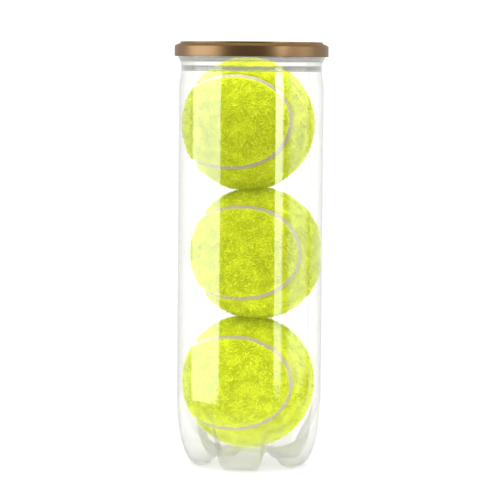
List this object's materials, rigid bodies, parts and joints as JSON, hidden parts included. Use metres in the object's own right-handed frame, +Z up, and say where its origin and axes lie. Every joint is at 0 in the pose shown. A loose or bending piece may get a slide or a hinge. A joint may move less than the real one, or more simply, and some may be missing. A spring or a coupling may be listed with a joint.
{
  "type": "tennis ball can",
  "caption": "Clear blown can with a petal-footed base, a metal tear-off end with a ring pull and a plastic overcap, holding a stack of felt-covered tennis balls.",
  "frame": {"origin": "centre of the circle that the feet stand on, at the ground", "axes": "+Z up the can's axis, -Y is the front, +X is the right-hand side seen from the front"},
  "size_m": [0.0778, 0.0778, 0.2141],
  "materials": {
    "clear_pet": "clear blown PET, glossy",
    "can_metal": "bright lacquered aluminium sheet",
    "sealing_compound": "cured sealing compound",
    "cap_plastic": "satin bronze metallic moulded plastic",
    "felt": "napped wool and nylon felt, optic yellow",
    "core_rubber": "moulded filled natural rubber",
    "seam_cement": "matt vulcanised seam cement"
  },
  "bodies": {
    "can": {"can_body": "clear_pet", "end_ring": "can_metal", "seam_sealant": "sealing_compound"},
    "panel": {"tear_panel": "can_metal", "rivet_tongue": "can_metal"},
    "tab": {"pull_tab": "can_metal"},
    "cap": {"overcap": "cap_plastic"},
    "ball_top": {"ball_top_core_left": "core_rubber", "ball_top_core_right": "core_rubber", "ball_top_felt_front": "felt", "ball_top_felt_back": "felt", "ball_top_seam": "seam_cement"},
    "ball_middle": {"ball_middle_core_left": "core_rubber", "ball_middle_core_right": "core_rubber", "ball_middle_felt_front": "felt", "ball_middle_felt_back": "felt", "ball_middle_seam": "seam_cement"},
    "ball_bottom": {"ball_bottom_core_left": "core_rubber", "ball_bottom_core_right": "core_rubber", "ball_bottom_felt_front": "felt", "ball_bottom_felt_back": "felt", "ball_bottom_seam": "seam_cement"}
  },
  "joints": [
    {"name": "ball_bottom_lift", "type": "slide", "parent": "can", "child": "ball_bottom", "axis": [0.0024, 0, 1], "range_m": [0, 0.215]},
    {"name": "ball_middle_lift", "type": "slide", "parent": "can", "child": "ball_middle", "axis": [-0.0351, 0, 0.9994], "range_m": [0, 0.2268]},
    {"name": "ball_top_lift", "type": "slide", "parent": "can", "child": "ball_top", "axis": [0.0437, 0, 0.999], "range_m": [0, 0.2375]},
    {"name": "panel_lift", "type": "slide", "parent": "can", "child": "panel", "axis": [0, 0, 1], "range_m": [0, 0.2482]},
    {"name": "overcap_lift", "type": "slide", "parent": "panel", "child": "cap", "axis": [0, 0, 1], "range_m": [0, 0.06]},
    {"name": "tab_lift", "type": "hinge", "parent": "panel", "child": "tab", "pos_m": [0, -0.0302, 0.2084], "axis": [1, 0, 0], "range_deg": [0, 91]}
  ],
  "couplings": [
    {"joint": "ball_middle_lift", "follows": "ball_bottom_lift", "ratio": 1.05},
    {"joint": "ball_top_lift", "follows": "ball_bottom_lift", "ratio": 1.1},
    {"joint": "panel_lift", "follows": "ball_bottom_lift", "ratio": 1.15},
    {"joint": "tab_lift", "follows": "overcap_lift", "rad_per_m": 26.18}
  ]
}
